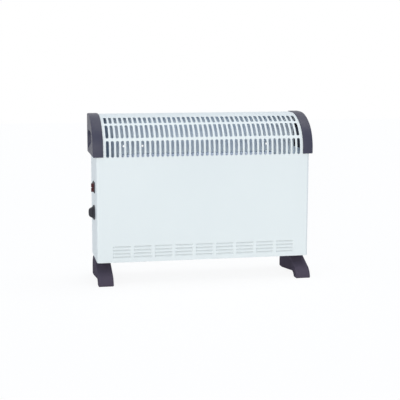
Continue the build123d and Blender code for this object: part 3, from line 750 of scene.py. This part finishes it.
def footPiece(side):
    # The outline drawn out to the foot's width, with two wells for its screws cut from below
    bm = bmesh.new()
    line = footLine()
    x0 = side * feet["x"] - feet["width"] / 2
    left = [bm.verts.new(mm(x0, y, z)) for y, z in line]
    right = [bm.verts.new(mm(x0 + feet["width"], y, z)) for y, z in line]
    bridge(bm, left, right)
    faceAlong(bm, left)
    faceAlong(bm, right)
    bmesh.ops.recalc_face_normals(bm, faces=bm.faces)
    name = "footRight" if side > 0 else "footLeft"
    foot = newMesh(name, bm, finishes["footPlastic"])
    softEdges(foot, width=feet["edge"], segments=3, angle=38.0)
    wells = bmesh.new()
    for y in feet["screwY"]:
        place = Matrix.Translation(mm(side * feet["x"], y, (feet["wellTop"] - feet["wellBelow"]) / 2))
        bmesh.ops.create_cone(wells, cap_ends=True, segments=28, radius1=feet["wellRadius"] * 0.001,
                              radius2=feet["wellRadius"] * 0.001,
                              depth=(feet["wellTop"] + feet["wellBelow"]) * 0.001, matrix=place)
    cutter = newMesh("wellCutter", wells, finishes["footPlastic"])
    cut = foot.modifiers.new("screwWells", "BOOLEAN")
    cut.object = cutter
    cut.operation = "DIFFERENCE"
    bake(foot)
    bpy.data.objects.remove(cutter)
    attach(foot, "heater")
    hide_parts("foot_right" if side > 0 else "foot_left")


for side in (-1, 1):
    footPiece(side)
print("feet made")


# Knob, rockers and the printed setting mark on the left side

# The skirt is (radius, height) pairs, and the grip is half of its outline as (out, up) pairs
knob = dict(baseX=-251.0, steps=72, width=9.4,
            skirt=((12.9, 0), (17.2, 0), (17.5, 0.3), (17.5, 1.6), (17.25, 2.1), (16.7, 2.4),
                   (15.5, 2.6), (13.5, 3.0), (10.5, 3.9), (7.0, 4.4), (0, 4.6)),
            grip=((2.2, 15.9), (3.0, 14.9), (4.0, 13.5), (5.4, 12.2), (7.2, 11.2), (9.2, 10.3),
                  (11.0, 9.2), (12.2, 7.6), (12.9, 5.4), (13.2, 2.8), (13.2, 0)))


def lathe(bm, profile, place, axis, steps):
    # Turned form: profile pairs are (radius, height along the axis)
    way = Vector(axis)
    aside = Vector((0, 0, 1)) if abs(way.z) < 0.5 else Vector((1, 0, 0))
    other = way.cross(aside)
    rings = []
    for radius, height in profile:
        if radius == 0:
            rings.append([bm.verts.new(place + way * height * 0.001)])
            continue
        rings.append([bm.verts.new(place + (way * height + aside * radius * cos(2 * pi * i / steps)
                                            + other * radius * sin(2 * pi * i / steps)) * 0.001)
                      for i in range(steps)])
    for a, b in zip(rings, rings[1:]):
        if len(a) == 1 or len(b) == 1:
            tip, ring = (a[0], b) if len(a) == 1 else (b[0], a)
            for i in range(steps):
                faceAlong(bm, (tip, ring[i], ring[(i + 1) % steps]))
        else:
            bridge(bm, a, b)


def thermostatKnob():
    # Turned skirt and upright grip bar, joined in one piece
    bm = bmesh.new()
    place = mm(knob["baseX"], controls["y"], controls["knobZ"])
    lathe(bm, knob["skirt"], place, (-1, 0, 0), knob["steps"])
    bmesh.ops.recalc_face_normals(bm, faces=bm.faces)
    skirt = newMesh("knobSkirt", bm, finishes["knobPlastic"])
    softEdges(skirt, width=0.15, segments=1, angle=50.0)
    bake(skirt)
    bar = bmesh.new()
    half = list(knob["grip"])
    line = half + [(x, -z) for x, z in reversed(half[:-1])]
    sides = [[bar.verts.new(mm(knob["baseX"] - x, y, controls["knobZ"] + z)) for x, z in line]
             for y in (-knob["width"] / 2, knob["width"] / 2)]
    bridge(bar, sides[0], sides[1])
    faceAlong(bar, sides[0])
    faceAlong(bar, sides[1])
    bmesh.ops.recalc_face_normals(bar, faces=bar.faces)
    grip = newMesh("knobGrip", bar, finishes["knobPlastic"])
    softEdges(grip, width=1.3, segments=3, angle=40.0)
    bake(grip)
    both = bmesh.new()
    both.from_mesh(skirt.data)
    both.from_mesh(grip.data)
    both.to_mesh(skirt.data)
    both.free()
    bpy.data.objects.remove(grip)
    skirt.name = "thermostatKnob"
    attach(skirt, "thermostat")
    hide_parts("thermostat_knob")


thermostatKnob()

rockers = dict(pivotX=-249.9, sweep=13.0, width=9.0, tilt=11.0, dish=5.3, flare=0.175, dishRound=2.0,
               dishDrop=0.9, reach=0.93, under=-3.0, topSteps=12, endSteps=6,
               places=(("rockerUpper", "rocker_upper", "switch_upper", 224.8),
                       ("rockerLower", "rocker_lower", "switch_lower", 214.2)))


def rockerKey(name, node, body, z):
    # Dished key, drawn level and then tipped with its rear end out
    bm = bmesh.new()
    sweep = rockers["sweep"]
    top = []
    edgeU = 0.0
    steps = rockers["topSteps"]
    for i in range(-steps, steps + 1):
        u = sweep * rockers["reach"] * i / steps
        v = rockers["dish"] + rockers["flare"] * (hypot(u, rockers["dishRound"]) - rockers["dishDrop"])
        if hypot(u, v) < sweep:
            top.append((u, v))
            edgeU = u

    def arcTo(sign):
        start = atan2(top[-1][1], edgeU)
        stop = asin(rockers["under"] / sweep)
        count = rockers["endSteps"]
        turns = [start + (stop - start) * i / count for i in range(1, count + 1)]
        return [(sign * sweep * cos(turn), sweep * sin(turn)) for turn in turns]

    line = top + arcTo(1) + arcTo(-1)[::-1]
    turn = radians(90 - rockers["tilt"])
    rings = []
    for dz in (-rockers["width"] / 2, rockers["width"] / 2):
        rings.append([bm.verts.new(mm(rockers["pivotX"] + u * cos(turn) - v * sin(turn),
                                      controls["y"] + u * sin(turn) + v * cos(turn), z + dz))
                      for u, v in line])
    bridge(bm, rings[0], rings[1])
    faceAlong(bm, rings[0])
    faceAlong(bm, rings[1])
    bmesh.ops.recalc_face_normals(bm, faces=bm.faces)
    key = newMesh(name, bm, finishes["rockerPlastic"])
    softEdges(key, width=0.5, segments=3, angle=40.0)
    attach(key, body)
    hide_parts(node)


for place in rockers["places"]:
    rockerKey(*place)

settingMark = dict(y=0.0, z=186.0, radius=1.6, thickness=0.06, steps=32)


def printedMark():
    bm = bmesh.new()
    place = mm(-casing["half"], settingMark["y"], settingMark["z"])
    r = settingMark["radius"]
    thickness = settingMark["thickness"]
    lathe(bm, [(r, 0), (r, thickness), (0, thickness)], place, (-1, 0, 0), settingMark["steps"])
    mark = newMesh("settingMark", bm, finishes["greyInk"])
    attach(mark, "heater")


printedMark()
print("controls made")


# Screws: pan heads with a cross recess, on plain shanks

screws = dict(radius=3.6, height=2.2, rim=0.6, shank=1.7, tip=1.5, steps=32, shankSteps=12,
              capLength=14.0, casingLength=4.0, footLength=16.0, crossHalf=0.42,
              crossReach=1.75, crossDepth=1.1, rings=(3.45, 3.1, 2.6, 2.1, 1.8, 1.6, 1.2, 0.8, 0.45, 0.2))
casingScrews = dict(y=68.8, sideX=244.5, sideZ=(90.0, 270.0), rowX=(-120.0, 120.0), rowZ=(378.0, 59.5))


def screwHead(bm, place, axis, length):
    # Rings from the rim to the middle, sunk where they cross the recess
    way = Vector(axis)
    aside = Vector((1, 0, 0)) if abs(way.x) < 0.5 else Vector((0, 0, 1))
    other = way.cross(aside)
    steps = screws["steps"]
    rings = []
    outer, rim = screws["radius"], screws["rim"]
    for radius in (outer, outer, *screws["rings"]):
        ring = []
        for i in range(steps):
            turn = 2 * pi * i / steps
            u, v = radius * cos(turn), radius * sin(turn)
            height = rim + (screws["height"] - rim) * (1 - (radius / outer) ** 2) ** 0.5
            if not rings:
                height = 0.0
            inCross = min(abs(u), abs(v)) < screws["crossHalf"] and max(abs(u), abs(v)) < screws["crossReach"]
            if inCross:
                height -= screws["crossDepth"]
            ring.append(bm.verts.new(place + (way * height + aside * u + other * v) * 0.001))
        rings.append(ring)
    for a, b in zip(rings, rings[1:]):
        bridge(bm, a, b)
    faceAlong(bm, rings[-1])
    lathe(bm, [(screws["shank"], 0), (screws["shank"], -length + screws["tip"]), (0, -length)],
          place, axis, screws["shankSteps"])


def screwSet(name, node, places, axis, length):
    bm = bmesh.new()
    for x, y, z in places:
        screwHead(bm, mm(x, y, z), axis, length)
    bmesh.ops.recalc_face_normals(bm, faces=bm.faces)
    heads = newMesh(name, bm, finishes["screwSteel"])
    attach(heads, "heater")
    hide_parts(node)


screwSet("capScrews", "cap_screws",
         [(side * cap["screwX"], cap["backY"], z) for side in (-1, 1) for z in cap["screwZ"]],
         (0, 1, 0), screws["capLength"])
screwSet("casingScrews", "casing_screws",
         [(side * casingScrews["sideX"], casingScrews["y"], z) for side in (-1, 1)
          for z in casingScrews["sideZ"]]
         + [(x, casingScrews["y"], z) for x in casingScrews["rowX"] for z in casingScrews["rowZ"]],
         (0, 1, 0), screws["casingLength"])
screwSet("footScrews", "foot_screws",
         [(side * feet["x"], y, feet["wellTop"]) for side in (-1, 1) for y in feet["screwY"]],
         (0, 0, -1), screws["footLength"])
print("screws made")


# Floor, light and camera

# Each lamp is its name, level, spread in degrees, direction towards it and colour
studio = dict(floorSize=9.0, floorDrop=0.0003, floorTone=(0.72, 0.72, 0.72), floorWhite=1.02,
              shadowTone=(0.93, 0.94, 0.95), shadowShare=0.12,
              worldTone=(0.72, 0.83, 1.0), worldLevel=0.54,
              lamps=(("frontLamp", 1.56, 14.0, (-0.3, -1.0, 0.18), (1.0, 0.955, 0.88)),
                     ("topLamp", 0.95, 40.0, (0.3, 0.1, 1.0), (1.0, 0.96, 0.9)),
                     ("sideLamp", 0.25, 50.0, (-1.0, -0.1, 0.35), (0.92, 0.94, 0.96))))


def backgroundRays(tree):
    # 1 where the camera, a reflection or a clear piece looks on, and 0 for plain light
    path = addNode(tree, "ShaderNodeLightPath")
    mirrored = addNode(tree, "ShaderNodeMath", operation="MAXIMUM")
    tree.links.new(path.outputs["Is Glossy Ray"], mirrored.inputs[0])
    tree.links.new(path.outputs["Is Transmission Ray"], mirrored.inputs[1])
    looking = addNode(tree, "ShaderNodeMath", operation="MAXIMUM")
    tree.links.new(path.outputs["Is Camera Ray"], looking.inputs[0])
    tree.links.new(mirrored.outputs[0], looking.inputs[1])
    return looking.outputs[0]


def makeFloor():
    # White to the eye with a faint shadow, and a matte ground that sends light back to the heater
    bm = bmesh.new()
    half = studio["floorSize"] / 2
    corners = ((-half, -half), (half, -half), (half, half), (-half, half))
    bm.faces.new([bm.verts.new(Vector((x, y, 0))) for x, y in corners])
    material, tree, shader = treeOf("studioFloor")
    out = tree.nodes["Material Output"]
    tree.nodes.remove(shader)
    matte = addNode(tree, "ShaderNodeBsdfDiffuse", Color=(*studio["shadowTone"], 1))
    bounce = addNode(tree, "ShaderNodeBsdfDiffuse", Color=(*studio["floorTone"], 1))
    white = addNode(tree, "ShaderNodeEmission", Color=(1, 1, 1, 1), Strength=studio["floorWhite"])
    seen = addNode(tree, "ShaderNodeMixShader", Fac=1 - studio["shadowShare"])
    tree.links.new(matte.outputs[0], seen.inputs[1])
    tree.links.new(white.outputs[0], seen.inputs[2])
    choose = addNode(tree, "ShaderNodeMixShader")
    tree.links.new(backgroundRays(tree), choose.inputs["Fac"])
    tree.links.new(bounce.outputs[0], choose.inputs[1])
    tree.links.new(seen.outputs[0], choose.inputs[2])
    tree.links.new(choose.outputs[0], out.inputs["Surface"])
    floor = newMesh("studioFloor", bm, material, smooth=False)
    floor.location.z = -studio["floorDrop"]


def makeWorld():
    # Pale blue light from all round, and a white backdrop to the eye
    world = bpy.data.worlds.new("studio")
    bpy.context.scene.world = world
    world.use_nodes = True
    tree = world.node_tree
    back = tree.nodes["Background"]
    out = tree.nodes["World Output"]
    back.inputs["Color"].default_value = (*studio["worldTone"], 1)
    back.inputs["Strength"].default_value = studio["worldLevel"]
    white = addNode(tree, "ShaderNodeBackground", Color=(1, 1, 1, 1), Strength=1.0)
    choose = addNode(tree, "ShaderNodeMixShader")
    tree.links.new(backgroundRays(tree), choose.inputs["Fac"])
    tree.links.new(back.outputs[0], choose.inputs[1])
    tree.links.new(white.outputs[0], choose.inputs[2])
    tree.links.new(choose.outputs[0], out.inputs["Surface"])


def makeSun(name, level, angle, source, colour):
    data = bpy.data.lights.new(name, "SUN")
    data.energy = level
    data.angle = radians(angle)
    data.color = colour
    lamp = bpy.data.objects.new(name, data)
    lamp.rotation_euler = Vector(source).to_track_quat("Z", "Y").to_euler()
    bpy.context.scene.collection.objects.link(lamp)


# Lengths in mm, turns in degrees, and the focal length in pixels of the photograph's width
view = dict(target=(-11.28, -54.0, 190.53), distance=2368.04, yaw=11.36, pitch=9.01, roll=0.15,
            focal=1022.87, photoWidth=400.0, sensor=36.0)


def makeCamera():
    # At the photograph's viewing angle
    yaw, pitch, tip = (radians(view[key]) for key in ("yaw", "pitch", "roll"))
    right = Vector((cos(yaw), -sin(yaw), 0))
    up = Vector((sin(yaw) * sin(pitch), cos(yaw) * sin(pitch), cos(pitch)))
    ahead = Vector((sin(yaw) * cos(pitch), cos(yaw) * cos(pitch), -sin(pitch)))
    rightTipped = right * cos(tip) + up * sin(tip)
    upTipped = up * cos(tip) - right * sin(tip)
    data = bpy.data.cameras.new("photoCamera")
    data.sensor_fit = "HORIZONTAL"
    data.sensor_width = view["sensor"]
    data.lens = view["focal"] * view["sensor"] / view["photoWidth"]
    data.clip_end = 50.0
    camera = bpy.data.objects.new("photoCamera", data)
    turn = Matrix((rightTipped, upTipped, -ahead)).transposed().to_4x4()
    eye = (Vector(view["target"]) - ahead * view["distance"]) * 0.001
    camera.matrix_world = Matrix.Translation(eye) @ turn
    bpy.context.scene.collection.objects.link(camera)
    bpy.context.scene.camera = camera


makeFloor()
makeWorld()
for lamp in studio["lamps"]:
    makeSun(*lamp)
makeCamera()
bpy.context.scene.view_settings.view_transform = "Standard"
print("studio set")
